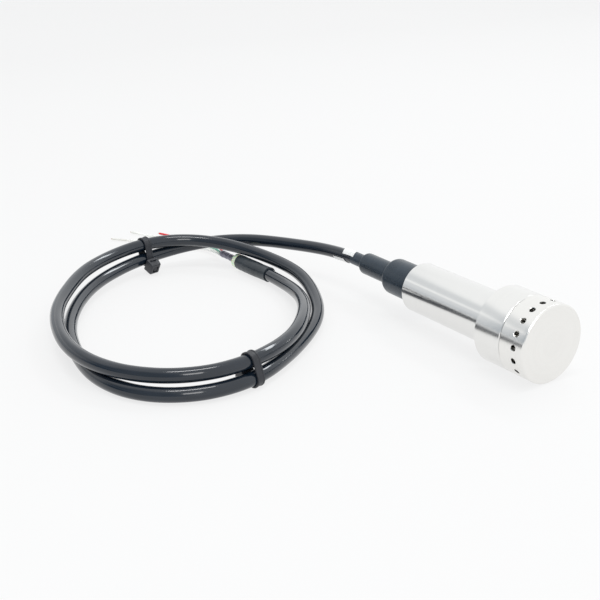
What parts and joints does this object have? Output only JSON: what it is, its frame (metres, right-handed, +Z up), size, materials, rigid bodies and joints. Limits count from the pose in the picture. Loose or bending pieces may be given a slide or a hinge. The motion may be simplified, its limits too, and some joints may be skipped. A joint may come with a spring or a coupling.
{
  "type": "ultrasonic distance sensor",
  "caption": "Submersible ultrasonic distance probe: stainless tube and head with a ported screw-on guard cap, stepped black cable gland and a tied loop of bare-ended cable.",
  "frame": {"origin": "on the floor under the middle of the probe, from the sensing face to the end of the cable boot", "axes": "+X along the probe towards its sensing face, +Z up, the probe resting on its head"},
  "size_m": [0.3378, 0.21, 0.0415],
  "materials": {
    "stainless_cap": "fine circular turning marks, satin",
    "stainless_head": "fine circular turning marks, satin",
    "stainless_tube": "fine circular polishing marks, satin bright",
    "stainless_small": "turned",
    "seal_rubber": "matte",
    "window_resin": "filled epoxy, satin",
    "piezo_ceramic": "fired ceramic with silvered faces",
    "backing_epoxy": "tungsten loaded epoxy, matte",
    "natural_nylon": "moulded, satin",
    "circuit_board": "solder mask",
    "coil_tape": "polyester tape",
    "component_black": "moulded epoxy",
    "capacitor_can": "drawn can",
    "black_nylon": "moulded, satin",
    "tie_nylon": "moulded nylon, satin",
    "cable_jacket": "glossy polyurethane",
    "marker_white": "vinyl tape",
    "sleeve_black": "heat-shrink tube, satin",
    "sleeve_liner": "translucent inner liner",
    "shield_foil": "foil wrapped core bundle",
    "insulation_red": "extruded",
    "insulation_green": "extruded",
    "insulation_white": "extruded",
    "insulation_clear": "extruded, milky",
    "insulation_blue": "extruded"
  },
  "bodies": {
    "probe": {"acoustic_window": "window_resin", "backing_block": "backing_epoxy", "board_connector": "natural_nylon", "body_tube": "stainless_tube", "cable": "cable_jacket", "cable_boot": "black_nylon", "cable_lead_in": "cable_jacket", "cable_marker": "marker_white", "cable_seal": "seal_rubber", "cable_tie_front": "tie_nylon", "cable_tie_rear": "tie_nylon", "circuit_board": "circuit_board", "core_clear": "insulation_clear", "core_green": "insulation_green", "core_red": "insulation_red", "core_white": "insulation_white", "echo_amplifier": "component_black", "end_sleeve": "sleeve_black", "front_board_holder": "natural_nylon", "gland_body": "black_nylon", "gland_o_ring": "seal_rubber", "gland_washer": "stainless_small", "head_body": "stainless_head", "lead_blue": "insulation_blue", "lead_green": "insulation_green", "lead_red": "insulation_red", "lead_white": "insulation_white", "microcontroller": "component_black", "piezo_disc": "piezo_ceramic", "pulse_transformer": "coil_tape", "rear_board_holder": "natural_nylon", "retaining_ring": "stainless_small", "shield_bundle": "shield_foil", "sleeve_liner": "sleeve_liner", "storage_capacitor": "capacitor_can", "strain_relief": "black_nylon", "transducer_cup": "natural_nylon", "transducer_lead_return": "component_black", "transducer_lead_signal": "insulation_red", "transducer_o_ring": "seal_rubber", "tube_o_ring": "seal_rubber"},
    "cap_carrier": {"cap_o_ring": "seal_rubber"},
    "cap": {"guard_cap": "stainless_cap"}
  },
  "joints": [
    {"name": "cap_travel", "type": "slide", "parent": "probe", "child": "cap_carrier", "axis": [1, 0, 0], "range_m": [0, 0.0045]},
    {"name": "cap_unscrew", "type": "hinge", "parent": "cap_carrier", "child": "cap", "pos_m": [0.066, 0, 0.0205], "axis": [1, 0, 0], "range_deg": [0, 1078]}
  ],
  "couplings": [
    {"joint": "cap_travel", "follows": "cap_unscrew", "m_per_rad": 0.00023873}
  ]
}
